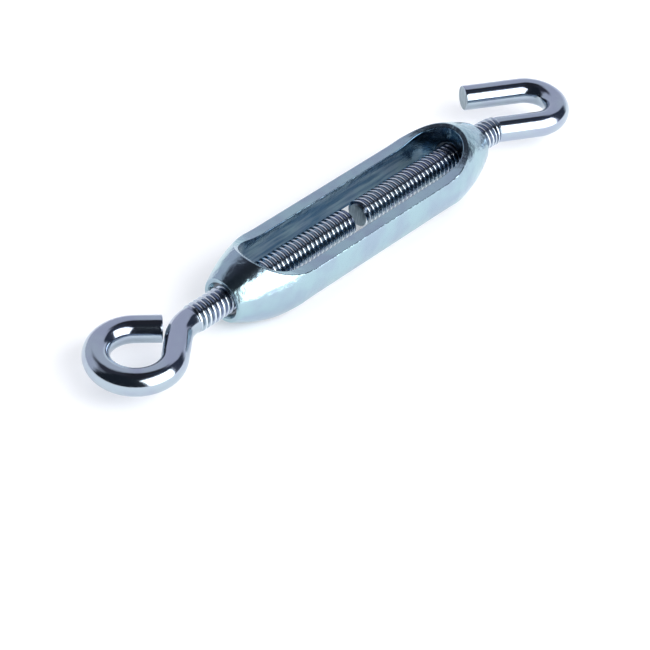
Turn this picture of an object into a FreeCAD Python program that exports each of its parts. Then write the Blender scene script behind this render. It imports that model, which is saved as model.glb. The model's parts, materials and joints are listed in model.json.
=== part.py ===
import FreeCAD, Part
import math
import os

import Sketcher

# Rigging turnbuckle with an open forged frame, an eye bolt and a hook bolt.
# Frame of reference: the origin is the centre of the eye, +X runs along the thread axis towards the
# hook, and the eye, the slot of the frame and the hook all lie flat in the XY plane, with +Z up.
# The rolled threads are plain cylinders at the major diameter, and the tapped ones plain bores.

DRIVING_SIZES = [
    # (alias, its value in millimetres unless the words say otherwise, what it is)
    ("thread_diameter", 6.35, "major diameter of both bolts' thread"),
    ("thread_clearance", 0.05, "radial play between a bolt and its tapped sleeve"),
    ("thread_rise", 0.3, "how far the rolled thread stands above the wire it is rolled on"),
    ("tip_chamfer", 0.6, "chamfer on the inner end of each bolt"),
    ("tips_apart", 3.2, "gap between the two bolts' inner ends at rest"),
    ("frame_length", 78.8, "frame, over both boss faces"),
    ("frame_width", 19.4, "frame, over the outsides of the rails"),
    ("frame_thickness", 7.2, "rails, from the upper land to the lower one"),
    ("cone_length", 15.1, "coned part at each end of the frame"),
    ("cone_bulge", 0.85, "how far the cone swells beyond its straight side"),
    ("boss_wall", 1.375, "metal round the bore at the face of each boss"),
    ("boss_length", 7.2, "each boss, from its face to the end of the slot"),
    ("rail_wall", 3.3, "each rail, from its outside to the slot at half height"),
    ("rim_width", 0.8, "metal left between the slot's end and the top of the cone"),
    ("rise_length", 13.0, "length in which each land rises to the rim of the slot's end"),
    ("land_fillet", 0.25, "rounding of the rails' outer and inner edges"),
    ("boss_fillet", 0.3, "rounding of the boss faces' outer edge"),
    ("mouth_depth", 0.9, "countersink at the mouth of each boss"),
    ("mouth_flare", 0.6, "how much wider the countersink gets by the boss face"),
    ("sleeve_wall", 0.35, "layer of the boss that its thread is tapped in"),
    ("sleeve_clearance", 0.05, "radial play round that layer"),
    ("eye_hole", 10.0, "hole through the eye"),
    ("eye_lean", 39.5, "angle that the eye's neck leans at, in degrees"),
    ("eye_neck_bend", 9.0, "centreline radius of the bend in the eye's neck"),
    ("eye_tail_angle", 48.0, "angle from the axis where the ring's wire runs out straight, in degrees"),
    ("eye_tail", 0.711, "straight end of the ring's wire, as a share of the ring's radius"),
    ("eye_thread_shown", 8.59, "straight thread between the eye's neck and its boss at rest"),
    ("hook_opening", 7.45, "clear width between the hook's legs"),
    ("hook_lean", 30.5, "angle that the hook's neck and legs lean at, in degrees"),
    ("hook_neck_bend", 8.0, "centreline radius of the bend in the hook's neck"),
    ("hook_tip", 13.5, "straight leg at the hook's tip"),
    ("hook_thread_shown", 4.72, "straight thread between the hook's neck and its boss at rest"),
]

SHEET = "Sizes"

# How a sketch names its origin, and the points of an edge.
ORIGIN = (-1, 1)
START_POINT, END_POINT, CENTRE_POINT = 1, 2, 3

FULL_TURN = 360
# A face or an edge counts as lying along an axis when its direction is this nearly parallel to it.
PARALLEL = 0.99
# Two lengths in millimetres count as the same within this.
SAME_LENGTH = 1e-6
# How far the tool that flattens the lands reaches, as a multiple of the rails' radius.
LAND_TOOL_REACH = 1.5


def cell(alias):
    """The name that an expression reads a driving size by."""
    return f"<<{SHEET}>>.{alias}"


# Values worked out from the driving sizes, as expressions that every sub-part shares.
THREAD_RADIUS = f"{cell('thread_diameter')} / 2"
WIRE_RADIUS = f"({THREAD_RADIUS} - {cell('thread_rise')})"
BORE_RADIUS = f"({THREAD_RADIUS} + {cell('thread_clearance')})"
SLEEVE_RADIUS = f"({BORE_RADIUS} + {cell('sleeve_wall')})"
BOSS_BORE_RADIUS = f"({SLEEVE_RADIUS} + {cell('sleeve_clearance')})"
HALF_LENGTH = f"({cell('frame_length')} / 2)"
RAIL_RADIUS = f"({cell('frame_width')} / 2)"
BOSS_RADIUS = f"({BOSS_BORE_RADIUS} + {cell('boss_wall')})"
CREASE = f"({HALF_LENGTH} - {cell('cone_length')})"
LAND = f"({cell('frame_thickness')} / 2)"
SLOT_END = f"({HALF_LENGTH} - {cell('boss_length')})"
SLOT_HALF_WIDTH = f"({RAIL_RADIUS} - {cell('rail_wall')})"
CONE_DROP = f"({RAIL_RADIUS} - {BOSS_RADIUS})"
CONE_ARC = (
    f"((({cell('cone_length')}^2 + {CONE_DROP}^2) / 4 + {cell('cone_bulge')}^2)"
    f" / (2 * {cell('cone_bulge')}))"
)
# The rim's top is where the rising end of the land comes out through the cone.
RIM_END = f"({SLOT_END} + {cell('rim_width')})"
RIM_SHARE = f"(({RIM_END} - {CREASE}) / {cell('cone_length')})"
RIM_TOP = (
    f"({RAIL_RADIUS} - {CONE_DROP} * {RIM_SHARE}"
    f" + 4 * {cell('cone_bulge')} * {RIM_SHARE} * (1 - {RIM_SHARE}))"
)
FLAT_END = f"({RIM_END} - {cell('rise_length')})"
RISE = f"({RIM_TOP} - {LAND})"
RISE_ARC = f"(({cell('rise_length')}^2 + {RISE}^2) / (2 * {RISE}))"
EYE_RADIUS = f"({cell('eye_hole')} / 2 + {WIRE_RADIUS})"
HOOK_RADIUS = f"({cell('hook_opening')} / 2 + {WIRE_RADIUS})"
EYE_LEAN = f"({cell('eye_lean')} * 1deg)"
HOOK_LEAN = f"({cell('hook_lean')} * 1deg)"


def neck_start(radius, lean, bend):
    """How far from the centre of the eye or the hook its straight thread starts."""
    return f"({radius} / sin({lean}) + {bend} * tan({lean} / 2))"


EYE_NECK = neck_start(EYE_RADIUS, EYE_LEAN, cell("eye_neck_bend"))
HOOK_NECK = neck_start(HOOK_RADIUS, HOOK_LEAN, cell("hook_neck_bend"))
EYE_TO_FRAME = f"({EYE_NECK} + {cell('eye_thread_shown')} + {HALF_LENGTH})"
HOOK_TO_FRAME = f"({HOOK_NECK} + {cell('hook_thread_shown')} + {HALF_LENGTH})"

document = FreeCAD.newDocument("Turnbuckle")


def make_sheet():
    """Write the driving sizes as plain numbers, each with its alias."""
    sheet = document.addObject("Spreadsheet::Sheet", SHEET)
    for row, (alias, size, meaning) in enumerate(DRIVING_SIZES, start=1):
        sheet.set(f"A{row}", meaning)
        sheet.set(f"B{row}", str(size))
        sheet.setAlias(f"B{row}", alias)
    document.recompute()
    return sheet


def new_body(name):
    """A body whose Label names its node."""
    body = document.addObject("PartDesign::Body", name)
    body.Label = name
    return body


def new_sketch(body, name, plane_role):
    """A sketch on one of the body's own origin planes."""
    sketch = body.newObject("Sketcher::SketchObject", name)
    plane = next(item for item in body.Origin.OriginFeatures if item.Role == plane_role)
    sketch.AttachmentSupport = [(plane, "")]
    sketch.MapMode = "FlatFace"
    return sketch


def vector(sketch, place):
    """The point that a pair of expressions gives now."""
    return FreeCAD.Vector(*(float(sheet.evalExpression(text)) for text in place), 0)


def drive(sketch, kind, references, expression):
    """Add a dimension whose value is an expression."""
    size = float(sheet.evalExpression(expression))
    number = sketch.addConstraint(Sketcher.Constraint(kind, *references, size))
    sketch.setExpression(f"Constraints[{number}]", expression)


def pin(sketch, edge, end, place):
    """Hold one point of an edge at a pair of expressions, measured from the sketch's origin."""
    for kind, expression in zip(("DistanceX", "DistanceY"), place):
        drive(sketch, kind, (*ORIGIN, edge, end), expression)


def draw(sketch, corners, arcs=None, closed=True):
    """Draw edges from corner to corner. arcs gives, by edge number, a point on the arc, and then
    either its radius or the X of its centre."""
    arcs = arcs or {}
    count = len(corners) if closed else len(corners) - 1
    ends = []
    for number in range(count):
        start = vector(sketch, corners[number])
        finish = vector(sketch, corners[(number + 1) % len(corners)])
        if number in arcs:
            shape = Part.Arc(start, vector(sketch, arcs[number]["through"]), finish)
        else:
            shape = Part.LineSegment(start, finish)
        edge = sketch.addGeometry(shape, False)
        first = (sketch.getPoint(edge, START_POINT) - start).Length
        flipped = first > (sketch.getPoint(edge, END_POINT) - start).Length
        order = (END_POINT, START_POINT) if flipped else (START_POINT, END_POINT)
        ends.append((edge, *order))
    for number, (edge, start, finish) in enumerate(ends):
        pin(sketch, edge, start, corners[number])
        if closed or number + 1 < count:
            following = ends[(number + 1) % count]
            joint = (edge, finish, following[0], following[1])
            sketch.addConstraint(Sketcher.Constraint("Coincident", *joint))
        else:
            pin(sketch, edge, finish, corners[number + 1])
        if number in arcs and "radius" in arcs[number]:
            drive(sketch, "Radius", (edge,), arcs[number]["radius"])
        elif number in arcs:
            references = (*ORIGIN, edge, CENTRE_POINT)
            drive(sketch, "DistanceX", references, arcs[number]["centre_x"])


def draw_circle(sketch, radius):
    """Draw a circle about the sketch's own origin."""
    circle = Part.Circle(FreeCAD.Vector(), FreeCAD.Vector(0, 0, 1), 1)
    edge = sketch.addGeometry(circle, False)
    sketch.addConstraint(Sketcher.Constraint("Coincident", edge, CENTRE_POINT, *ORIGIN))
    drive(sketch, "Radius", (edge,), radius)


def revolve(body, sketch, name, kind="PartDesign::Revolution"):
    """Turn a sketch a full turn about its own horizontal axis, which is the thread axis."""
    feature = body.newObject(kind, name)
    feature.Profile = sketch
    feature.ReferenceAxis = (sketch, ["H_Axis"])
    feature.Angle = FULL_TURN
    return feature


def cut_through(body, sketch, name):
    """Cut a sketch right through the body, both ways, and check that metal came away."""
    document.recompute()
    before = body.Shape.Volume
    pocket = body.newObject("PartDesign::Pocket", name)
    pocket.Profile = sketch
    pocket.Type = "ThroughAll"
    pocket.Midplane = True
    document.recompute()
    if not body.Shape.Volume < before:
        raise RuntimeError(f"{name} cuts nothing")
    return pocket


def minus(expression):
    """The same length the other way."""
    return f"-1 * {expression}"


def mirrored(points, which):
    """The points mirrored in x, in y or in both."""
    return [
        (minus(x) if "x" in which else x, minus(y) if "y" in which else y) for x, y in points
    ]


def make_blank(body):
    """The solid of revolution that the frame is forged as: a bar that cones down to each boss."""
    sketch = new_sketch(body, "blank_outline", "XY_Plane")
    side = [(HALF_LENGTH, "0"), (HALF_LENGTH, BOSS_RADIUS), (CREASE, RAIL_RADIUS)]
    middle = (f"({HALF_LENGTH} + {CREASE}) / 2", f"({RAIL_RADIUS} + {BOSS_RADIUS}) / 2")
    tilt = f"atan2({CONE_DROP}; {cell('cone_length')})"
    swell = (
        f"{middle[0]} + {cell('cone_bulge')} * sin({tilt})",
        f"{middle[1]} + {cell('cone_bulge')} * cos({tilt})",
    )
    cone = {"through": swell, "radius": CONE_ARC}
    far_cone = {"through": mirrored([swell], "x")[0], "radius": CONE_ARC}
    draw(sketch, side + mirrored(side, "x")[::-1], arcs={1: cone, 3: far_cone})
    return revolve(body, sketch, "blank")


def land_height(station):
    """The height of a land where it rises, at a distance along the axis from the middle."""
    return f"({LAND} + {RISE_ARC} - sqrt({RISE_ARC}^2 - ({station} - {FLAT_END})^2))"


def cut_lands(body):
    """Flatten the rails above and below. Each land rises at its ends, out through the cones."""
    sketch = new_sketch(body, "land_outline", "XZ_Plane")
    over = f"({RAIL_RADIUS} * {LAND_TOOL_REACH})"
    beyond = f"({RIM_END} + {cell('rim_width')})"
    side = [(FLAT_END, LAND), (beyond, land_height(beyond)), (beyond, over)]
    for which in ("", "y"):
        right = mirrored(side, which)
        left = mirrored(right, "x")[::-1]
        through = mirrored([(RIM_END, RIM_TOP)], which)[0]
        rising = {"through": through, "centre_x": FLAT_END}
        falling = {"through": mirrored([through], "x")[0], "centre_x": minus(FLAT_END)}
        draw(sketch, right + left, arcs={0: rising, 4: falling})
    return cut_through(body, sketch, "lands")


def cut_slot(body):
    """The through slot between the rails, with round ends."""
    sketch = new_sketch(body, "slot_outline", "XY_Plane")
    centre = f"({SLOT_END} - {SLOT_HALF_WIDTH})"
    right = [(centre, minus(SLOT_HALF_WIDTH)), (centre, SLOT_HALF_WIDTH)]
    left = mirrored(right, "xy")
    ends = {
        0: {"through": (SLOT_END, "0"), "centre_x": centre},
        2: {"through": (minus(SLOT_END), "0"), "centre_x": minus(centre)},
    }
    draw(sketch, right + left, arcs=ends)
    return cut_through(body, sketch, "slot")


def cut_bore(body):
    """One bore along the axis, through both bosses, and a countersink at each mouth."""
    sketch = new_sketch(body, "bore_outline", "YZ_Plane")
    draw_circle(sketch, BOSS_BORE_RADIUS)
    cut_through(body, sketch, "bore")
    before = body.Shape.Volume
    sketch = new_sketch(body, "mouth_outline", "XY_Plane")
    inner = f"({HALF_LENGTH} - {cell('mouth_depth')})"
    lip = f"({BOSS_BORE_RADIUS} + {cell('mouth_flare')})"
    mouth = [(inner, "0"), (HALF_LENGTH, "0"), (HALF_LENGTH, lip), (inner, BOSS_BORE_RADIUS)]
    draw(sketch, mouth)
    draw(sketch, mirrored(mouth, "x"))
    revolve(body, sketch, "mouths", "PartDesign::Groove")
    document.recompute()
    if not body.Shape.Volume < before:
        raise RuntimeError("the mouths cut nothing")


def is_land(face):
    """Whether a face is one of the rails' flat lands, or a rising end of one."""
    surface = face.Surface
    if isinstance(surface, Part.Plane):
        return abs(surface.Axis.z) > PARALLEL
    return isinstance(surface, Part.Cylinder) and abs(surface.Axis.y) > PARALLEL


def rim_edges(shape):
    """The names of the edges where a land meets the rails' sides, the cones or the slot."""
    owners = {}
    for face in filter(is_land, shape.Faces):
        for edge in face.Edges:
            owners.setdefault(edge.hashCode(), []).append(face)
    names = []
    for number, edge in enumerate(shape.Edges, start=1):
        if len(owners.get(edge.hashCode(), [])) == 1:
            names.append(f"Edge{number}")
    return names


def boss_edges(shape, station, radius):
    """The names of the round edges of a given radius at both boss faces."""
    names = []
    for number, edge in enumerate(shape.Edges, start=1):
        curve = edge.Curve
        if isinstance(curve, Part.Circle) and abs(curve.Axis.x) > PARALLEL:
            at_face = abs(abs(curve.Center.x) - station) < SAME_LENGTH
            if at_face and abs(curve.Radius - radius) < SAME_LENGTH:
                names.append(f"Edge{number}")
    return names


def round_edges(body, name, edges, size):
    """Fillet the named edges of the body's last feature."""
    if not edges:
        raise RuntimeError(f"{name} found no edge to round")
    base = body.Tip
    fillet = body.newObject("PartDesign::Fillet", name)
    fillet.Base = (base, edges)
    fillet.setExpression("Radius", size)
    document.recompute()
    if "Invalid" in fillet.State or not fillet.Shape.isValid():
        raise RuntimeError(f"{name} can't be rounded: {fillet.State}")


def make_frame():
    """The open frame: two rails, and a tapped boss at each end."""
    body = new_body("frame")
    make_blank(body)
    cut_lands(body)
    cut_slot(body)
    round_edges(body, "rims", rim_edges(body.Tip.Shape), cell("land_fillet"))
    cut_bore(body)
    station, radius = (float(sheet.evalExpression(text)) for text in (HALF_LENGTH, BOSS_RADIUS))
    outer = boss_edges(body.Tip.Shape, station, radius)
    round_edges(body, "boss_rims", outer, cell("boss_fillet"))
    body.setExpression("Placement.Base.x", EYE_TO_FRAME)
    return body


def make_sleeve(name, side):
    """The layer of one boss that its thread is tapped in, from the slot to the boss's mouth."""
    body = new_body(name)
    sketch = new_sketch(body, f"{name}_outline", "XY_Plane")
    outer = f"({HALF_LENGTH} - {cell('mouth_depth')})"
    corners = [(SLOT_END, BORE_RADIUS), (outer, BORE_RADIUS), (outer, SLEEVE_RADIUS)]
    corners.append((SLOT_END, SLEEVE_RADIUS))
    draw(sketch, mirrored(corners, side))
    revolve(body, sketch, f"{name}_wall")
    body.setExpression("Placement.Base.x", EYE_TO_FRAME)
    return body


def add_thread(body, neck, tip):
    """The threaded length of a bolt, from its neck to its chamfered inner end."""
    sketch = new_sketch(body, f"{body.Label}_thread_outline", "XY_Plane")
    runout = f"({THREAD_RADIUS} - {WIRE_RADIUS})"
    towards_tip = math.copysign(1, vector(sketch, (tip, "0")).x - vector(sketch, (neck, "0")).x)
    profile = [
        (neck, "0"),
        (neck, WIRE_RADIUS),
        (f"{neck} + {towards_tip} * {runout}", THREAD_RADIUS),
        (f"{tip} - {towards_tip} * {cell('tip_chamfer')}", THREAD_RADIUS),
        (tip, f"{THREAD_RADIUS} - {cell('tip_chamfer')}"),
        (tip, "0"),
    ]
    draw(sketch, profile)
    revolve(body, sketch, f"{body.Label}_thread")


def add_wire(body, neck, corners, arcs):
    """Round wire swept along an open path of lines and arcs that starts at the neck."""
    path = new_sketch(body, f"{body.Label}_path", "XY_Plane")
    draw(path, corners, arcs, closed=False)
    section = new_sketch(body, f"{body.Label}_section", "YZ_Plane")
    section.setExpression("AttachmentOffset.Base.z", neck)
    draw_circle(section, WIRE_RADIUS)
    pipe = body.newObject("PartDesign::AdditivePipe", f"{body.Label}_wire")
    pipe.Profile = section
    pipe.Spine = path


def bent_neck(radius, lean, bend):
    """Where a neck that leaves the axis touches the circle that the wire is bent round.

    Measured from that circle's centre, for a bolt that reaches towards +X: the start of the neck's
    bend, a point in the middle of it, its end, and the point where the wire meets the circle."""
    corner = f"({radius} / sin({lean}))"
    reach = f"({bend} * tan({lean} / 2))"
    start = (neck_start(radius, lean, bend), "0")
    middle = (
        f"({start[0]} - {bend} * sin({lean} / 2))",
        f"-1 * {bend} * (1 - cos({lean} / 2))",
    )
    end = (f"({corner} - {reach} * cos({lean}))", f"-1 * {reach} * sin({lean})")
    touch = (f"({radius} * sin({lean}))", f"-1 * {radius} * cos({lean})")
    return start, middle, end, touch


def make_eye_bolt():
    """The eye bolt: thread, leaning neck, and a ring whose straight tail closes on the neck."""
    body = new_body("eye_bolt")
    leaves = f"({cell('eye_tail_angle')} * 1deg)"
    tail = f"{EYE_RADIUS} * {cell('eye_tail')}"
    bend = cell("eye_neck_bend")
    start, middle, end, touch = bent_neck(EYE_RADIUS, EYE_LEAN, bend)
    straight = (f"{EYE_RADIUS} * cos({leaves})", f"{EYE_RADIUS} * sin({leaves})")
    cut_off = (f"{straight[0]} + {tail} * sin({leaves})", f"{straight[1]} - {tail} * cos({leaves})")
    far_side = (minus(EYE_RADIUS), "0")
    tip = f"({EYE_TO_FRAME} - {cell('tips_apart')} / 2)"
    add_thread(body, start[0], tip)
    arcs = {
        0: {"through": middle, "radius": bend},
        2: {"through": far_side, "centre_x": "0"},
    }
    add_wire(body, start[0], [start, end, touch, straight, cut_off], arcs)
    return body


def make_hook_bolt():
    """The hook bolt: thread, leaning neck, and a U whose tip leg lies along the neck."""
    body = new_body("hook_bolt")
    bend = cell("hook_neck_bend")
    start, middle, end, touch = mirrored(bent_neck(HOOK_RADIUS, HOOK_LEAN, bend), "x")
    turned = (minus(touch[0]), f"{HOOK_RADIUS} * cos({HOOK_LEAN})")
    crown = (f"{HOOK_RADIUS} * cos({HOOK_LEAN})", f"-1 * {HOOK_RADIUS} * sin({HOOK_LEAN})")
    cut_off = (
        f"{turned[0]} - {cell('hook_tip')} * cos({HOOK_LEAN})",
        f"{turned[1]} + {cell('hook_tip')} * sin({HOOK_LEAN})",
    )
    tip = f"({cell('tips_apart')} / 2 - {HOOK_TO_FRAME})"
    add_thread(body, start[0], tip)
    arcs = {
        0: {"through": middle, "radius": bend},
        2: {"through": crown, "centre_x": "0"},
    }
    add_wire(body, start[0], [start, end, touch, turned, cut_off], arcs)
    body.setExpression("Placement.Base.x", f"{EYE_TO_FRAME} + {HOOK_TO_FRAME}")
    return body


def check(objects):
    """Stop if anything failed to build."""
    for item in objects:
        if "Invalid" in item.State or "Error" in item.State:
            raise RuntimeError(f"{item.Name} failed: {item.State}")


def export(bodies):
    """Write each sub-part's shape to a STEP file that carries its name."""
    os.makedirs("parts", exist_ok=True)
    for body in bodies:
        if body.Shape.isNull() or not body.Shape.isValid():
            raise RuntimeError(f"{body.Label} has no valid shape")
    for body in bodies:
        body.Shape.exportStep(os.path.join("parts", f"{body.Label}.step"))


sheet = make_sheet()
bodies = [
    make_frame(),
    make_sleeve("left_hand_thread", "x"),
    make_sleeve("right_hand_thread", ""),
    make_eye_bolt(),
    make_hook_bolt(),
]
document.recompute()
check(document.Objects)
export(bodies)
for item in bodies:
    print(item.Label, round(item.Shape.Volume, 1), item.Shape.BoundBox)
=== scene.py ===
"""Rigging turnbuckle: a forged open frame, an eye bolt and a hook bolt, all bright zinc plated."""

import json
import logging
import math
from dataclasses import dataclass, field, replace
from enum import Enum

import bpy
import numpy as np
from mathutils import Matrix, Vector


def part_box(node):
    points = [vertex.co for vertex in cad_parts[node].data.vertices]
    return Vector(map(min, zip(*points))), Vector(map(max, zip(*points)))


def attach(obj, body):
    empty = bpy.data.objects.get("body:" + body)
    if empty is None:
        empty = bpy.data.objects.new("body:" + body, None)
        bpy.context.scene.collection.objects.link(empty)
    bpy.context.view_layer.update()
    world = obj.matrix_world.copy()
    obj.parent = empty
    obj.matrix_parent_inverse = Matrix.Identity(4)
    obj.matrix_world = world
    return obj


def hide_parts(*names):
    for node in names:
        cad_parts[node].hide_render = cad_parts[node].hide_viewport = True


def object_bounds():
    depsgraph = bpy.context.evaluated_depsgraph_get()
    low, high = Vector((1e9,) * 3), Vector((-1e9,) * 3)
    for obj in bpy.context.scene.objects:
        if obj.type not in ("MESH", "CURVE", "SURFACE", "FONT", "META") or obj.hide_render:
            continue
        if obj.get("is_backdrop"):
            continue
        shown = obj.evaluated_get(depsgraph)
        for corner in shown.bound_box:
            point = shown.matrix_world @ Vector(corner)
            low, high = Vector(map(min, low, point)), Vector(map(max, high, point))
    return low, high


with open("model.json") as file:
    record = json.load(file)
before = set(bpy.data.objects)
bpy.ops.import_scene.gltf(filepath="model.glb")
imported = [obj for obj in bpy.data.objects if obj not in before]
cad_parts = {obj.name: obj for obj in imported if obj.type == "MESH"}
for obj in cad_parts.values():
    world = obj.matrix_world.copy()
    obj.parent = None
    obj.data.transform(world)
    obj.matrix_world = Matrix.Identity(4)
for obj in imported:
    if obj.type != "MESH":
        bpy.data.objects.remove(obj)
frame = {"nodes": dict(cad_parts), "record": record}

MM = 0.001
FULL_TURN = 2 * math.pi
UP = Vector((0, 0, 1))

# The vertex attribute that says how proud a point stands, from 0 in a root to 1 on a crest. Then
# its values where a root's painted shade ends, on plain wire, and where the painted highlight
# on a crest starts.
PROUDNESS = "proudness"
ROOT_SHADE_END = 0.4
PLAIN_PROUDNESS = 0.8
CREST_HIGHLIGHT_START = 0.85

# How far a noise's value usually strays from a half.
NOISE_SPREAD = 0.25

log = logging.getLogger("turnbuckle")

Colour = tuple[float, float, float]


class Hand(Enum):
    """Which way a screw thread climbs, as the sign of its turn about the way it advances."""

    RIGHT = 1
    LEFT = -1


class Turn(Enum):
    """Which way a wire is bent, seen from above, as the sign of its change of heading."""

    LEFT = 1
    RIGHT = -1


class Body(Enum):
    """The bodies that the bolts ride on, which are also the nodes that they replace."""

    EYE_BOLT = "eye_bolt"
    HOOK_BOLT = "hook_bolt"


def mount_x(name: str) -> float:
    """The X of one of the record's mounts."""
    return next(m for m in frame["record"]["mounts"] if m["name"] == name)["pos_m"][0]


def eased(share: np.ndarray) -> np.ndarray:
    """Ease a share from 0 to 1, so that it starts and ends gently."""
    return share * share * (3 - 2 * share)


# ---------------------------------------------------------------------------------------------
# Finishes


class NodeBoard:
    """A shader's nodes, laid and wired by short calls."""

    def __init__(self, tree: bpy.types.NodeTree) -> None:
        """Start from an empty tree.

        Args:
            tree: The node tree to fill.
        """
        tree.nodes.clear()
        self.tree = tree

    def add(self, kind: str, **settings: object) -> bpy.types.Node:
        """Lay a node.

        Args:
            kind: The node's type, without its ShaderNode prefix.
            settings: Attributes to set on the node.

        Returns:
            The new node.
        """
        node = self.tree.nodes.new(f"ShaderNode{kind}")
        for name, value in settings.items():
            setattr(node, name, value)
        return node

    def wire(self, output: bpy.types.NodeSocket, socket: bpy.types.NodeSocket) -> None:
        """Link an output to an input."""
        self.tree.links.new(output, socket)

    def feed(self, socket: bpy.types.NodeSocket, value: object) -> None:
        """Wire a socket to an input, or set the input to a plain value.

        Args:
            socket: The input.
            value: A node's output, or the plain value.
        """
        if isinstance(value, bpy.types.NodeSocket):
            self.wire(value, socket)
        else:
            socket.default_value = value

    def math(self, operation: str, *values: object) -> bpy.types.NodeSocket:
        """Lay a Math node.

        Args:
            operation: The node's operation.
            values: Its inputs, as sockets or numbers.

        Returns:
            The node's output.
        """
        node = self.add("Math", operation=operation)
        for socket, value in zip(node.inputs, values):
            self.feed(socket, value)
        return node.outputs[0]

    def span(
        self, value: bpy.types.NodeSocket, low: float, high: float, start: float, end: float
    ) -> bpy.types.NodeSocket:
        """Map a value smoothly from one range to another, held at both ends.

        Args:
            value: The value to map.
            low: Where the change starts.
            high: Where it ends.
            start: The result at and below low.
            end: The result at and above high.

        Returns:
            The mapped value.
        """
        node = self.add("MapRange", interpolation_type="SMOOTHSTEP")
        for socket, number in zip(node.inputs, (value, low, high, start, end)):
            self.feed(socket, number)
        return node.outputs[0]

    def blend(self, share: object, one: object, other: object) -> bpy.types.NodeSocket:
        """Mix two colours.

        Args:
            share: How much of the other colour there is.
            one: The first colour, as a socket or RGBA.
            other: The second colour.

        Returns:
            The mixed colour.
        """
        node = self.add("Mix", data_type="RGBA")
        for name, value in (("Factor_Float", share), ("A_Color", one), ("B_Color", other)):
            self.feed(next(s for s in node.inputs if s.identifier == name), value)
        return next(s for s in node.outputs if s.identifier == "Result_Color")

    def noise(
        self, place: bpy.types.NodeSocket, scale: float, detail: float = 3.0, rough: float = 0.5
    ) -> bpy.types.NodeSocket:
        """Lay a noise texture.

        Args:
            place: The coordinates that it follows.
            scale: Its cells to a unit of those coordinates.
            detail: Its octaves.
            rough: How strong the finer octaves are.

        Returns:
            The noise's value, from 0 to 1.
        """
        node = self.add("TexNoise")
        self.wire(place, node.inputs["Vector"])
        node.inputs["Scale"].default_value = scale
        node.inputs["Detail"].default_value = detail
        node.inputs["Roughness"].default_value = rough
        return node.outputs["Fac"]


def rgba(colour: Colour) -> tuple[float, float, float, float]:
    """The colour with full alpha."""
    return (*colour, 1.0)


class MetalBoard(NodeBoard):
    """The nodes of a metal finish.

    Attributes:
        material: The material that they make.
        shader: Its shader.
        place: The object's own coordinates.
    """

    def __init__(self, name: str) -> None:
        """Start a metal finish.

        Args:
            name: The material's name.
        """
        self.material = bpy.data.materials.new(name)
        self.material.use_nodes = True
        super().__init__(self.material.node_tree)
        self.shader = self.add("BsdfPrincipled")
        self.shader.inputs["Metallic"].default_value = 1.0
        output = self.add("OutputMaterial")
        self.wire(self.shader.outputs["BSDF"], output.inputs["Surface"])
        self.place = self.add("TexCoord").outputs["Object"]

    def stretched(self, x: float = 1.0, z: float = 1.0) -> bpy.types.NodeSocket:
        """Scale the object's coordinates, which stretches what follows them.

        Args:
            x: The scale along X.
            z: The scale along Z.

        Returns:
            The scaled coordinates.
        """
        node = self.add("Mapping", vector_type="POINT")
        node.inputs["Scale"].default_value = (x, 1.0, z)
        self.wire(self.place, node.inputs["Vector"])
        return node.outputs["Vector"]

    def bump(
        self,
        height: bpy.types.NodeSocket,
        depth: float,
        under: bpy.types.NodeSocket | None = None,
    ) -> bpy.types.NodeSocket:
        """Lay a Bump node.

        Args:
            height: The relief, from 0 to 1.
            depth: How deep it is, in metres.
            under: The normal that it is laid over, if there is one.

        Returns:
            The normal.
        """
        node = self.add("Bump")
        node.inputs["Distance"].default_value = depth
        self.wire(height, node.inputs["Height"])
        if under is not None:
            self.wire(under, node.inputs["Normal"])
        return node.outputs["Normal"]


@dataclass(frozen=True)
class SlotShade:
    """A straight slot with round ends, whose walls get a painted shade, broken into streaks.

    Attributes:
        middle: The X of its middle.
        half_length: Half its length.
        half_width: Half its width.
        fade: How far behind the wall the painted shade starts to fade, and where it is gone.
        streak_scale: Streaks to a metre, across them.
        streak_stretch: The scale along them.
        streak_noise: The noise values between which the streaks change.
        streak_share: How much of the painted shade they carry at those values.
    """

    middle: float
    half_length: float
    half_width: float
    fade: tuple[float, float] = (0.02 * MM, 0.2 * MM)
    streak_scale: float = 900.0
    streak_stretch: float = 0.12
    streak_noise: tuple[float, float] = (0.35, 0.65)
    streak_share: tuple[float, float] = (0.95, 0.45)

    def share(self, board: MetalBoard) -> bpy.types.NodeSocket:
        """Find the slot's walls.

        Args:
            board: The material's nodes.

        Returns:
            How much painted shade the walls get, from 0 to 1.
        """
        axes = board.add("SeparateXYZ")
        board.wire(board.place, axes.inputs[0])
        along = board.math("ABSOLUTE", board.math("SUBTRACT", axes.outputs[0], self.middle))
        straight = self.half_length - self.half_width
        beyond = board.math("MAXIMUM", board.math("SUBTRACT", along, straight), 0.0)
        squares = [board.math("MULTIPLY", value, value) for value in (beyond, axes.outputs[1])]
        away = board.math("SQRT", board.math("ADD", *squares))
        start, end = (self.half_width + gap for gap in self.fade)
        # Painted shade: full inside the slot, fading just behind its walls, broken by streaks.
        inside = board.span(away, start, end, 1.0, 0.0)
        noise = board.noise(board.stretched(x=self.streak_stretch), self.streak_scale)
        streaks = board.span(noise, *self.streak_noise, *self.streak_share)
        return board.math("MULTIPLY", inside, streaks)


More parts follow.
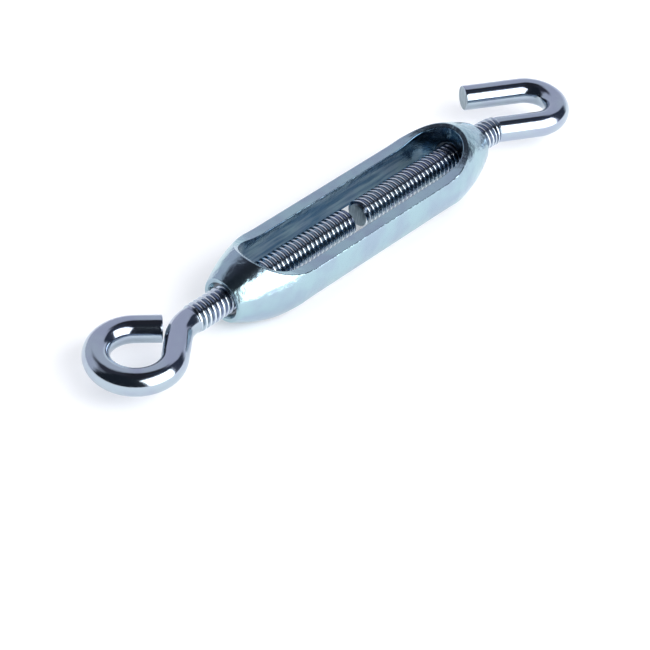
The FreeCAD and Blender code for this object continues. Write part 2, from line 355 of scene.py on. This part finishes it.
@dataclass(frozen=True)
class ZincPlate:
    """Bright zinc plating with a blue passivate that drifts in tint over the surface.

    Attributes:
        name: The material's name.
        bright: The plating where it is blue-white.
        tinted: The plating where the passivate is thicker and more violet.
        roughness: How rough the bright plating is.
        roughness_swing: How much rougher it gets in patches.
        patch_scale: Patches of tint to a metre.
        grain_scale: Grains of the steel under the plating to a metre.
        grain_height: How deep that grain is, in metres.
        dimple_scale: Soft forging dimples to a metre.
        dimple_height: How deep those are, in metres.
        painted_shade: The colour painted as shade in thread roots and on a slot's walls.
        crest_highlight: The colour painted as a highlight on crests, if the mesh says how proud it
            stands.
        slot: The slot whose walls get painted shade, if there is one.
        patch_noise: The noise values between which the tint changes.
        root_roughness: How much rougher the plating is in a root.
    """

    name: str
    bright: Colour
    tinted: Colour
    roughness: float
    roughness_swing: float
    patch_scale: float
    grain_scale: float
    grain_height: float
    dimple_scale: float
    dimple_height: float
    painted_shade: Colour | None = None
    crest_highlight: Colour | None = None
    slot: SlotShade | None = None
    patch_noise: tuple[float, float] = (0.38, 0.66)
    root_roughness: float = 0.12

    def build(self) -> bpy.types.Material:
        """Make the material.

        Returns:
            The material, ready to assign.
        """
        board = MetalBoard(self.name)
        patches = board.noise(board.place, self.patch_scale, detail=2.0)
        share = board.span(patches, *self.patch_noise, 0.0, 1.0)
        colour = board.blend(share, rgba(self.bright), rgba(self.tinted))
        root = None
        if self.crest_highlight:
            proudness = board.add("Attribute", attribute_name=PROUDNESS).outputs["Fac"]
            # Painted shade: the thread's roots take a darker colour.
            root = board.span(proudness, 0.0, ROOT_SHADE_END, 1.0, 0.0)
            colour = board.blend(root, colour, rgba(self.painted_shade))
            # Painted highlight: the thread's crests take a lighter colour.
            crest = board.span(proudness, CREST_HIGHLIGHT_START, 1.0, 0.0, 1.0)
            colour = board.blend(crest, colour, rgba(self.crest_highlight))
        if self.slot:
            # Painted shade: the slot's walls take a dark navy colour, in streaks.
            colour = board.blend(self.slot.share(board), colour, rgba(self.painted_shade))
        board.wire(colour, board.shader.inputs["Base Color"])
        self.roughen(board, patches, root)
        return board.material

    def roughen(
        self,
        board: MetalBoard,
        patches: bpy.types.NodeSocket,
        root: bpy.types.NodeSocket | None,
    ) -> None:
        """Give the shader its roughness and its bump.

        Args:
            board: The material's nodes.
            patches: The noise that the tint follows.
            root: How deep in a root the surface is, if the mesh says.
        """
        grain = board.noise(board.place, self.grain_scale, detail=4.0, rough=0.6)
        swing = board.math("MULTIPLY", board.math("ADD", patches, grain), self.roughness_swing)
        rough = board.math("ADD", swing, self.roughness - self.roughness_swing)
        if root is not None:
            rough = board.math("ADD", rough, board.math("MULTIPLY", root, self.root_roughness))
        board.wire(rough, board.shader.inputs["Roughness"])
        dimples = board.noise(board.place, self.dimple_scale, detail=1.0)
        fine = board.bump(grain, self.grain_height)
        broad = board.bump(dimples, self.dimple_height, under=fine)
        board.wire(broad, board.shader.inputs["Normal"])


BOLT_ZINC = ZincPlate(
    name="bolt_zinc",
    bright=(0.42, 0.50, 0.56),
    tinted=(0.39, 0.44, 0.54),
    roughness=0.13,
    roughness_swing=0.06,
    patch_scale=140.0,
    grain_scale=2600.0,
    grain_height=0.004 * MM,
    dimple_scale=420.0,
    dimple_height=0.02 * MM,
    # Painted shade for the thread roots.
    painted_shade=(0.12, 0.15, 0.18),
    # Painted highlight for the thread crests.
    crest_highlight=(0.74, 0.80, 0.84),
)
FRAME_ZINC = ZincPlate(
    name="frame_zinc",
    bright=(0.37, 0.52, 0.57),
    tinted=(0.34, 0.44, 0.53),
    roughness=0.17,
    roughness_swing=0.08,
    patch_scale=150.0,
    grain_scale=1900.0,
    grain_height=0.035 * MM,
    dimple_scale=520.0,
    dimple_height=0.11 * MM,
    # Painted shade for the slot's walls.
    painted_shade=(0.05, 0.13, 0.23),
)
TAPPED_STEEL = ZincPlate(
    name="tapped_steel",
    bright=(0.22, 0.24, 0.27),
    tinted=(0.18, 0.19, 0.22),
    roughness=0.35,
    roughness_swing=0.08,
    patch_scale=300.0,
    grain_scale=2600.0,
    grain_height=0.01 * MM,
    dimple_scale=700.0,
    dimple_height=0.02 * MM,
)


@dataclass(frozen=True)
class CutFace:
    """The flat end of a wire where it was cut, plated over the marks of the cut.

    Attributes:
        name: The material's name.
        colour: The plating's colour.
        roughness: How rough the face is.
        mark_scale: Cutting marks to a metre, across them.
        mark_height: How deep the marks are, in metres.
        mark_stretch: The scale along the marks.
        mark_noise: The noise values between which the colour changes.
        mark_shade: The colour of a mark, as a share of the plating's.
        rough_noise: The noise values between which the roughness changes.
        roughness_swing: How far the roughness swings to either side.
    """

    name: str
    colour: Colour
    roughness: float
    mark_scale: float
    mark_height: float
    mark_stretch: float = 0.15
    mark_noise: tuple[float, float] = (0.3, 0.7)
    mark_shade: float = 0.7
    rough_noise: tuple[float, float] = (0.2, 0.8)
    roughness_swing: float = 0.08

    def build(self) -> bpy.types.Material:
        """Make the material.

        Returns:
            The material, ready to assign.
        """
        board = MetalBoard(self.name)
        marks = board.noise(board.stretched(z=self.mark_stretch), self.mark_scale, detail=3.0)
        dark = rgba(tuple(self.mark_shade * channel for channel in self.colour))
        share = board.span(marks, *self.mark_noise, 0.0, 1.0)
        colour = board.blend(share, rgba(self.colour), dark)
        board.wire(colour, board.shader.inputs["Base Color"])
        swing = (self.roughness - self.roughness_swing, self.roughness + self.roughness_swing)
        rough = board.span(marks, *self.rough_noise, *swing)
        board.wire(rough, board.shader.inputs["Roughness"])
        board.wire(board.bump(marks, self.mark_height), board.shader.inputs["Normal"])
        return board.material


CUT_FACE = CutFace(
    name="cut_face",
    colour=(0.30, 0.38, 0.43),
    roughness=0.38,
    mark_scale=3200.0,
    mark_height=0.02 * MM,
)


# ---------------------------------------------------------------------------------------------
# Bent wire with a rolled thread


@dataclass
class WirePath:
    """The centreline of a wire that lies in the XY plane, followed from its start.

    Attributes:
        start: Where the wire starts.
        heading: The direction that it starts in, as an angle from +X.
        runs: Each run's length and curvature, both as followed.
    """

    start: complex
    heading: float
    runs: list[tuple[float, float]] = field(default_factory=list)

    def line(self, length: float) -> None:
        """Go straight on for a length."""
        self.runs.append((length, 0.0))

    def bend(self, radius: float, angle: float, turn: Turn) -> None:
        """Turn through an angle on an arc."""
        self.runs.append((radius * angle, turn.value / radius))

    @property
    def length(self) -> float:
        """The whole length of the wire."""
        return sum(length for length, _ in self.runs)

    def follow(self, distances: np.ndarray) -> tuple[np.ndarray, np.ndarray]:
        """Find the centreline at several distances along it.

        Args:
            distances: Distances from the start, in rising order.

        Returns:
            The points, and the unit vectors to the left of the way, both as complex numbers.
        """
        points = np.zeros(len(distances), complex)
        headings = np.zeros(len(distances))
        place, heading, gone = self.start, self.heading, 0.0
        for number, (length, curve) in enumerate(self.runs):
            last = number == len(self.runs) - 1
            here = (distances >= gone) & ((distances < gone + length) | last)
            along = distances[here] - gone
            points[here] = place + self.offset(heading, curve, along)
            headings[here] = heading + curve * along
            place = place + complex(self.offset(heading, curve, np.array(length)))
            heading += curve * length
            gone += length
        return points, 1j * np.exp(1j * headings)

    @staticmethod
    def offset(heading: float, curve: float, along: np.ndarray) -> np.ndarray:
        """Find how far a run of one curvature carries the wire from where the run starts.

        Args:
            heading: The heading that the run starts in.
            curve: Its curvature, positive to the left.
            along: Distances along it.

        Returns:
            The steps from the run's start, as complex numbers.
        """
        if curve == 0.0:
            return along * np.exp(1j * heading)
        return (np.exp(1j * (heading + curve * along)) - np.exp(1j * heading)) / (1j * curve)


@dataclass(frozen=True)
class RolledThread:
    """A rolled screw thread that starts at the cut end of a wire.

    Attributes:
        radius: The crest's radius.
        pitch: The distance from crest to crest.
        depth: The height from root to crest.
        length: How far the thread runs along the wire.
        fade: The length in which it runs out into the plain wire.
        chamfer: The chamfer at the cut end.
        hand: Which way it climbs.
        crest_share: The share of half a pitch that the flat of the crest takes.
        root_share: The share of half a pitch where the root's flat starts.
    """

    radius: float
    pitch: float
    depth: float
    length: float
    fade: float
    chamfer: float
    hand: Hand
    crest_share: float = 0.24
    root_share: float = 0.80

    def height(self, along: np.ndarray, angle: np.ndarray) -> np.ndarray:
        """How high the thread stands over its root, as a share of its depth.

        Args:
            along: Distances from the cut end.
            angle: Angles about the wire, by the right-hand rule about the way along.

        Returns:
            The heights, from 0 to 1.
        """
        phase = along / self.pitch - self.hand.value * angle / FULL_TURN
        away = np.abs((phase % 1.0) - 0.5) * 2
        slope = (away - self.crest_share) / (self.root_share - self.crest_share)
        slope = np.clip(slope, 0.0, 1.0)
        return 1.0 - (slope + eased(slope)) / 2

    def surface(
        self, along: np.ndarray, angle: np.ndarray, wire: float
    ) -> tuple[np.ndarray, np.ndarray]:
        """Find the wire's radius and how proud each point stands, with the thread on it.

        Args:
            along: Distances from the cut end.
            angle: Angles about the wire.
            wire: The plain wire's radius.

        Returns:
            The radius and the proudness at each point.
        """
        height = self.height(along, angle)
        threaded = self.radius - self.depth * (1.0 - height)
        left = eased(np.clip((self.length - along) / self.fade, 0.0, 1.0))
        radius = wire + (threaded - wire) * left
        proudness = PLAIN_PROUDNESS + (height - PLAIN_PROUDNESS) * left
        return np.minimum(radius, self.radius - self.chamfer + along), proudness


@dataclass
class BentBolt:
    """A bolt bent from round wire, with a rolled thread from its inner end to its neck.

    Attributes:
        body: The body that it rides on, which is also the node that it replaces.
        overrun: How far the thread runs on into the neck's bend.
        wire: The wire's radius.
        pitch: The thread's pitch.
        thread_depth: The thread's depth.
        tip_chamfer: The chamfer on the threaded end.
        cut_round: The rounding of the edge at the cut end.
        stations_per_pitch: Rings of vertices to a pitch.
        sides: Vertices in a ring.
        bend_step: The distance between rings on the plain wire.
        cap_rings: Rings of faces from the edge of an end to its middle.
        sharp: The angle between faces from which an edge is sharp.
        slot: The name of a material slot of the record; it is not used.
    """

    body: Body
    overrun: float
    wire: float = 2.875 * MM
    pitch: float = 1.27 * MM
    thread_depth: float = 0.70 * MM
    tip_chamfer: float = 0.6 * MM
    cut_round: float = 0.22 * MM
    stations_per_pitch: int = 18
    sides: int = 72
    bend_step: float = 0.45 * MM
    cap_rings: int = 6
    sharp: float = math.radians(50)
    slot: str = "bolt_zinc"

    def path(self) -> tuple[WirePath, float]:
        """The wire's centreline, and the length of its straight run from the threaded end."""
        raise NotImplementedError

    def hand(self) -> Hand:
        """Which way the bolt's thread climbs."""
        raise NotImplementedError

    def thread_radius(self) -> float:
        """The thread's crest radius, which is the node's half height."""
        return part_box(self.body.value)[1].z

    def neck(self, path: WirePath, centre: float, radius: float, lean: float, bend: float) -> float:
        """Lay the straight thread and the neck's bend, up to where the wire meets its loop.

        Args:
            path: The path to add to, which starts at the threaded end.
            centre: The X of the loop's centre.
            radius: The loop's radius.
            lean: The angle that the neck leans at.
            bend: The radius of the neck's own bend.

        Returns:
            The length of the straight run.
        """
        reach = bend * math.tan(lean / 2)
        straight = abs(path.start.real - centre) - radius / math.sin(lean) - reach
        turn = Turn.LEFT if path.heading else Turn.RIGHT
        path.line(straight)
        path.bend(bend, lean, turn)
        path.line(radius / math.tan(lean) - reach)
        return straight

    def rings(self, path: WirePath, thread: RolledThread) -> np.ndarray:
        """The distances along the wire that its rings of vertices stand at.

        Args:
            path: The wire's centreline.
            thread: The thread on it.

        Returns:
            The distances, in rising order.
        """
        threaded = np.arange(0.0, thread.length, self.pitch / self.stations_per_pitch)
        rest = path.length - self.cut_round
        plain = np.linspace(thread.length, rest, math.ceil((rest - thread.length) / self.bend_step))
        quarter = np.linspace(0.0, math.pi / 2, self.cap_rings)[1:]
        end = rest + self.cut_round * np.sin(quarter)
        return np.concatenate([threaded, plain, end])

    def build(self) -> bpy.types.Object:
        """Make the bolt's mesh.

        Returns:
            The new object.
        """
        path, straight = self.path()
        thread = RolledThread(
            radius=self.thread_radius(),
            pitch=self.pitch,
            depth=self.thread_depth,
            length=straight + self.overrun,
            fade=self.pitch,
            chamfer=self.tip_chamfer,
            hand=self.hand(),
        )
        along = self.rings(path, thread)
        angle = np.arange(self.sides) * FULL_TURN / self.sides
        radius, proudness = thread.surface(along[:, None], angle[None, :], self.wire)
        rest = path.length - self.cut_round
        over = np.clip((along - rest) / self.cut_round, 0.0, 1.0)[:, None]
        radius = radius - self.cut_round * (1.0 - np.sqrt(1.0 - over**2))
        centre, left = path.follow(along)
        return self.skin(centre, left, radius, proudness, angle)

    def skin(
        self,
        centre: np.ndarray,
        left: np.ndarray,
        radius: np.ndarray,
        proudness: np.ndarray,
        angle: np.ndarray,
    ) -> bpy.types.Object:
        """Stretch a closed skin over rings of vertices, with a flat cap on each end.

        Args:
            centre: The centre of each ring, as complex numbers.
            left: The unit vector to the left of the way at each ring.
            radius: The radius at each vertex.
            proudness: How proud each vertex stands.
            angle: The angle of each vertex about the wire.

        Returns:
            The new object, with the caps' faces in its second material slot.
        """
        caps = np.linspace(1.0, 0.0, self.cap_rings + 1)[1:-1]
        pad = (len(caps), len(caps))
        centre, left = np.pad(centre, pad, "edge"), np.pad(left, pad, "edge")
        radius = np.concatenate(
            [caps[::-1, None] * radius[:1], radius, caps[:, None] * radius[-1:]]
        )
        proudness = np.pad(proudness, (pad, (0, 0)), "edge")
        flat = centre[:, None] + left[:, None] * radius * np.cos(angle)
        points = np.stack([flat.real, flat.imag, radius * np.sin(angle)], axis=-1).reshape(-1, 3)
        rows, sides = radius.shape
        ends = [(centre[0].real, centre[0].imag, 0.0), (centre[-1].real, centre[-1].imag, 0.0)]
        points = np.concatenate([points, np.array(ends)])
        row, column = np.meshgrid(np.arange(rows - 1), np.arange(sides), indexing="ij")
        beside = (column + 1) % sides
        quads = np.stack(
            [
                row * sides + column,
                row * sides + beside,
                (row + 1) * sides + beside,
                (row + 1) * sides + column,
            ],
            axis=-1,
        ).reshape(-1, 4)
        around = np.arange(sides)
        beyond = (around + 1) % sides
        base = (rows - 1) * sides
        first = np.stack([np.full(sides, rows * sides), beyond, around], axis=-1)
        last = np.stack([np.full(sides, rows * sides + 1), base + around, base + beyond], axis=-1)
        mesh = bpy.data.meshes.new(f"{self.body.value}_wire")
        mesh.from_pydata(points.tolist(), [], quads.tolist() + first.tolist() + last.tolist())
        ring = np.concatenate([quads[:, 0] // sides, np.full(2 * sides, -1)])
        plain = (ring >= len(caps)) & (ring < rows - 1 - len(caps))
        mesh.polygons.foreach_set("material_index", np.where(plain, 0, 1).astype(np.int32))
        mesh.polygons.foreach_set("use_smooth", np.ones(len(mesh.polygons), bool))
        layer = mesh.attributes.new(PROUDNESS, "FLOAT", "POINT")
        layer.data.foreach_set("value", np.append(proudness.ravel(), [1.0, 1.0]).astype(np.float32))
        mesh.validate()
        mesh.set_sharp_from_angle(angle=self.sharp)
        piece = bpy.data.objects.new(f"{self.body.value}_piece", mesh)
        bpy.context.scene.collection.objects.link(piece)
        return piece

    def dress(self, piece: bpy.types.Object, finishes: list[bpy.types.Material]) -> None:
        """Give the piece its materials and its body, and hide the node that it stands for.

        Args:
            piece: The bolt's object.
            finishes: The material of the wire, and that of its cut faces.
        """
        for finish in finishes:
            piece.data.materials.append(finish)
        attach(piece, self.body.value)
        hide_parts(self.body.value)
        log.info("%s: %d faces", piece.name, len(piece.data.polygons))


@dataclass
class EyeBolt(BentBolt):
    """The bolt whose wire closes in a ring.

    Attributes:
        lean: The angle that the neck leans at.
        neck_bend: The radius of the bend in the neck.
        leaves: The angle from the axis where the ring's wire runs out straight.
        tail: The length of that straight end, as a share of the ring's radius.
    """

    body: Body = Body.EYE_BOLT
    overrun: float = 0.6 * MM
    lean: float = math.radians(39.5)
    neck_bend: float = 9.0 * MM
    leaves: float = math.radians(48)
    tail: float = 0.711

    def hand(self) -> Hand:
        """The eye's thread is left-handed."""
        return Hand.LEFT

    def path(self) -> tuple[WirePath, float]:
        """Lay the wire's centreline.

        Returns:
            The centreline, and the length of its straight run from the threaded end.
        """
        low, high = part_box(self.body.value)
        radius = -low.x - self.wire
        path = WirePath(start=complex(high.x), heading=math.pi)
        straight = self.neck(path, mount_x("eye"), radius, self.lean, self.neck_bend)
        path.bend(radius, FULL_TURN - self.leaves - (math.pi / 2 - self.lean), Turn.RIGHT)
        path.line(self.tail * radius)
        return path, straight


@dataclass
class HookBolt(BentBolt):
    """The bolt whose wire turns back in a hook.

    Attributes:
        lean: The angle that the neck and the legs lean at.
        neck_bend: The radius of the bend in the neck.
        tip_leg: The straight leg at the hook's tip.
    """

    body: Body = Body.HOOK_BOLT
    overrun: float = 3.4 * MM
    lean: float = math.radians(30.5)
    neck_bend: float = 8.0 * MM
    tip_leg: float = 13.5 * MM

    def hand(self) -> Hand:
        """The hook's thread is right-handed."""
        return Hand.RIGHT

    def path(self) -> tuple[WirePath, float]:
        """Lay the wire's centreline.

        Returns:
            The centreline, and the length of its straight run from the threaded end.
        """
        low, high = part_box(self.body.value)
        bend_x = mount_x("hook")
        radius = high.x - bend_x - self.wire
        path = WirePath(start=complex(low.x), heading=0.0)
        straight = self.neck(path, bend_x, radius, self.lean, self.neck_bend)
        path.bend(radius, math.pi, Turn.LEFT)
        path.line(self.tip_leg)
        return path, straight


# ---------------------------------------------------------------------------------------------
# The forged frame


@dataclass
class ForgedFrame:
    """The open frame and the tapped layer in each of its bosses.

    Attributes:
        node: The frame's own node.
        tapped_nodes: The nodes of the tapped layers.
        boss_length: From each end of the frame to the slot.
        rail_wall: How thick a rail is, from the slot to its outer face.
    """

    node: str = "frame"
    tapped_nodes: tuple[str, str] = ("left_hand_thread", "right_hand_thread")
    boss_length: float = 7.2 * MM
    rail_wall: float = 3.3 * MM

    def slot(self) -> SlotShade:
        """Find the slot between the rails.

        Returns:
            The slot, with the painted shade of its walls.
        """
        low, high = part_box(self.node)
        middle, half = (low + high) / 2, (high - low) / 2
        return SlotShade(middle.x, half.x - self.boss_length, half.y - self.rail_wall)

    def dress(self, plating: bpy.types.Material, tapped: bpy.types.Material) -> None:
        """Give the nodes their materials.

        Args:
            plating: The frame's plating.
            tapped: The finish of the tapped layers.
        """
        for name, finish in ((self.node, plating), *((n, tapped) for n in self.tapped_nodes)):
            node = frame["nodes"][name]
            if not node.material_slots:
                raise RuntimeError(f"{name} has no material slot")
            for material_slot in node.material_slots:
                material_slot.material = finish
            even = node.modifiers.new("even_normals", "WEIGHTED_NORMAL")
            even.keep_sharp = True
            log.info("%s: %d faces", name, len(node.data.polygons))


# ---------------------------------------------------------------------------------------------
# The studio


@dataclass(frozen=True)
class Viewpoint:
    """Where the camera stands.

    Attributes:
        azimuth: The compass angle that it looks from; 0 looks along +Y.
        elevation: Its height over the horizon, as an angle.
        lean: How far the object leans over about its own length, as the camera sees it.
        distance: From the middle of the frame to the lens.
        lens: The focal length, in millimetres.
        sensor: The sensor's width, in millimetres.
        clip: The nearest and the furthest that the camera sees.
        aside: How far to the left of the frame's middle the lens points.
        below: How far below it the lens points.
    """

    azimuth: float = math.radians(-47.4)
    elevation: float = math.radians(35.5)
    lean: float = math.radians(4.8)
    distance: float = 504.3 * MM
    lens: float = 130.2
    sensor: float = 36.0
    clip: tuple[float, float] = (0.01, 50.0)
    aside: float = 5.84 * MM
    below: float = 22.87 * MM

    def axes(self) -> tuple[Vector, Vector, Vector]:
        """Find how the camera is turned.

        Returns:
            Its right, its up, and the way back from what it looks at.
        """
        a, e = self.azimuth, self.elevation
        roll = Matrix.Rotation(-self.lean, 3, "X")
        right = roll @ Vector((math.cos(a), math.sin(a), 0))
        back = Vector((math.sin(a) * math.cos(e), -math.cos(a) * math.cos(e), math.sin(e)))
        back = roll @ back
        return right, back.cross(right), back

    def place_camera(self, middle: Vector) -> None:
        """Make the scene's camera.

        Args:
            middle: The middle of the frame.
        """
        right, up, back = self.axes()
        place = middle + back * self.distance
        aim = middle - right * self.aside - up * self.below
        ahead = (aim - place).normalized()
        side = ahead.cross(up).normalized()
        turn = Matrix((side, side.cross(ahead), -ahead)).transposed()
        data = bpy.data.cameras.new("camera")
        data.lens, data.sensor_width = self.lens, self.sensor
        data.clip_start, data.clip_end = self.clip
        camera = bpy.data.objects.new("camera", data)
        camera.matrix_world = Matrix.Translation(place) @ turn.to_4x4()
        bpy.context.scene.collection.objects.link(camera)
        bpy.context.scene.camera = camera


@dataclass(frozen=True)
class SoftBox:
    """A flat soft light.

    Attributes:
        name: The light's name.
        bearing: Its compass angle from the camera's side, to the camera's right.
        height: Its angle over the horizon.
        distance: How far it stands from the object.
        width: Its width.
        tall: Its height.
        power: Its power in watts.
        mirrored: Whether the plating mirrors it.
    """

    name: str
    bearing: float
    height: float
    distance: float
    width: float
    tall: float
    power: float
    mirrored: bool = True

    def hang(self, middle: Vector, azimuth: float) -> None:
        """Put the light up, facing the object.

        Args:
            middle: The middle of the frame.
            azimuth: The camera's azimuth.
        """
        angle = azimuth + self.bearing
        flat = Vector((math.sin(angle), -math.cos(angle), 0)) * math.cos(self.height)
        way = flat + UP * math.sin(self.height)
        data = bpy.data.lights.new(self.name, "AREA")
        data.shape, data.size, data.size_y = "RECTANGLE", self.width, self.tall
        data.energy = self.power
        lamp = bpy.data.objects.new(self.name, data)
        lamp.location = middle + way * self.distance
        lamp.rotation_euler = way.to_track_quat("Z", "Y").to_euler()
        lamp.visible_camera = False
        lamp.visible_glossy = self.mirrored
        bpy.context.scene.collection.objects.link(lamp)


@dataclass(frozen=True)
class RoomPatch:
    """A soft-edged part of the room, as a range of bearings and heights, all in degrees.

    Attributes:
        bearings: Its two compass angles from the camera's side, to the camera's right.
        heights: Its lower and upper angle over the horizon.
        colour: Its colour.
        soft: How wide its edges are.
    """

    bearings: tuple[float, float]
    heights: tuple[float, float]
    colour: Colour
    soft: float

    def share(
        self, board: NodeBoard, bearing: bpy.types.NodeSocket, height: bpy.types.NodeSocket
    ) -> bpy.types.NodeSocket:
        """Work out how much of the patch there is in each direction.

        Args:
            board: The room's nodes.
            bearing: The direction's bearing in degrees, from -180 to 180.
            height: Its height in degrees.

        Returns:
            The share, from 0 to 1.
        """
        share = 1.0
        for value, (low, high) in ((bearing, self.bearings), (height, self.heights)):
            rise = board.span(value, low - self.soft / 2, low + self.soft / 2, 0.0, 1.0)
            fall = board.span(value, high - self.soft / 2, high + self.soft / 2, 1.0, 0.0)
            share = board.math("MULTIPLY", share, board.math("MULTIPLY", rise, fall))
        return share


@dataclass
class Studio:
    """The floor, the lights, the room that the plating mirrors, and the camera.

    Attributes:
        viewpoint: Where the camera stands.
        boxes: The soft lights.
        floor_side: The side of the floor.
        floor_colour: The floor's colour.
        floor_roughness: How rough it is.
        floor_glow: How brightly the floor is lit from beneath.
        room: The colour of the room where no patch covers it.
        patches: The room's lighter and darker parts, each laid over those before it.
        wander: How far the patches' edges wander, in degrees.
        wander_scale: How often they do, to a unit of direction.
    """

    viewpoint: Viewpoint = field(default_factory=Viewpoint)
    boxes: tuple[SoftBox, ...] = (
        SoftBox(
            name="side_box",
            bearing=math.radians(54),
            height=math.radians(29),
            distance=1.0,
            width=1.13,
            tall=1.1,
            power=13.5,
        ),
        SoftBox(
            name="fill",
            bearing=0.0,
            height=math.radians(89),
            distance=1.5,
            width=3.0,
            tall=3.0,
            power=26.0,
            mirrored=False,
        ),
    )
    floor_side: float = 6.0
    floor_colour: Colour = (0.86, 0.87, 0.88)
    floor_roughness: float = 0.9
    floor_glow: float = 0.22
    room: Colour = (0.68, 0.69, 0.80)
    patches: tuple[RoomPatch, ...] = (
        RoomPatch((-200, 200), (60, 120), (0.03, 0.03, 0.04), soft=12),
        RoomPatch((-142, -80), (44, 80), (0.05, 0.05, 0.07), soft=16),
        RoomPatch((-86, 30), (-30, 76), (0.02, 0.025, 0.035), soft=20),
        RoomPatch((88, 132), (4, 80), (0.04, 0.05, 0.08), soft=10),
        RoomPatch((126, 200), (-30, 14), (0.95, 1.0, 1.1), soft=14),
    )
    wander: float = 7.0
    wander_scale: float = 3.0

    def build(self) -> None:
        """Make everything in the studio."""
        low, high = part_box("frame")
        middle = (low + high) / 2
        self.viewpoint.place_camera(middle)
        for box in self.boxes:
            box.hang(middle, self.viewpoint.azimuth)
        self.lay_floor(middle)
        self.paint_room()
        bpy.context.scene.view_settings.view_transform = "Standard"

    def lay_floor(self, middle: Vector) -> None:
        """Lay the floor under the object's lowest point.

        Args:
            middle: The middle of the frame.
        """
        low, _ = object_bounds()
        half = self.floor_side / 2
        signs = ((-1, -1), (1, -1), (1, 1), (-1, 1))
        corners = [(middle.x + x * half, y * half, low.z) for x, y in signs]
        mesh = bpy.data.meshes.new("floor")
        mesh.from_pydata(corners, [], [(0, 1, 2, 3)])
        floor = bpy.data.objects.new("floor", mesh)
        bpy.context.scene.collection.objects.link(floor)
        material = bpy.data.materials.new("pale_floor")
        material.use_nodes = True
        shader = material.node_tree.nodes["Principled BSDF"]
        shader.inputs["Base Color"].default_value = rgba(self.floor_colour)
        shader.inputs["Roughness"].default_value = self.floor_roughness
        shader.inputs["Emission Color"].default_value = rgba(self.floor_colour)
        shader.inputs["Emission Strength"].default_value = self.floor_glow
        shader.inputs["Specular IOR Level"].default_value = 0.0
        mesh.materials.append(material)
        floor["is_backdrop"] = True

    def paint_room(self) -> None:
        """Paint the room's light and shade, which the plating mirrors."""
        a = self.viewpoint.azimuth
        towards = Vector((math.sin(a), -math.cos(a), 0))
        right = Vector((math.cos(a), math.sin(a), 0))
        world = bpy.data.worlds.new("room")
        bpy.context.scene.world = world
        world.use_nodes = True
        board = NodeBoard(world.node_tree)
        direction = board.add("TexCoord").outputs["Generated"]
        shares = []
        for axis in (towards, right, UP):
            dot = board.add("VectorMath", operation="DOT_PRODUCT")
            board.wire(direction, dot.inputs[0])
            dot.inputs[1].default_value = axis
            shares.append(dot.outputs["Value"])
        degrees = math.degrees(1)
        noise = board.math("SUBTRACT", board.noise(direction, self.wander_scale), 0.5)
        wander = board.math("MULTIPLY", noise, self.wander / NOISE_SPREAD)
        bearing = board.math("MULTIPLY", board.math("ARCTAN2", shares[1], shares[0]), degrees)
        bearing = board.math("ADD", bearing, wander)
        height = board.math("MULTIPLY", board.math("ARCSINE", shares[2]), degrees)
        height = board.math("ADD", height, wander)
        colour = rgba(self.room)
        for patch in self.patches:
            colour = board.blend(patch.share(board, bearing, height), colour, rgba(patch.colour))
        light = board.add("Background")
        board.wire(colour, light.inputs["Color"])
        output = board.add("OutputWorld")
        board.wire(light.outputs["Background"], output.inputs["Surface"])


def main() -> None:
    """Build the turnbuckle and its studio."""
    logging.basicConfig(level=logging.INFO, format="%(name)s: %(message)s")
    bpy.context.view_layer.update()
    wire_zinc, cut_face = BOLT_ZINC.build(), CUT_FACE.build()
    for bolt in (EyeBolt(), HookBolt()):
        bolt.dress(bolt.build(), [wire_zinc, cut_face])
    body = ForgedFrame()
    body.dress(replace(FRAME_ZINC, slot=body.slot()).build(), TAPPED_STEEL.build())
    Studio().build()


if __name__ == "__main__":
    main()
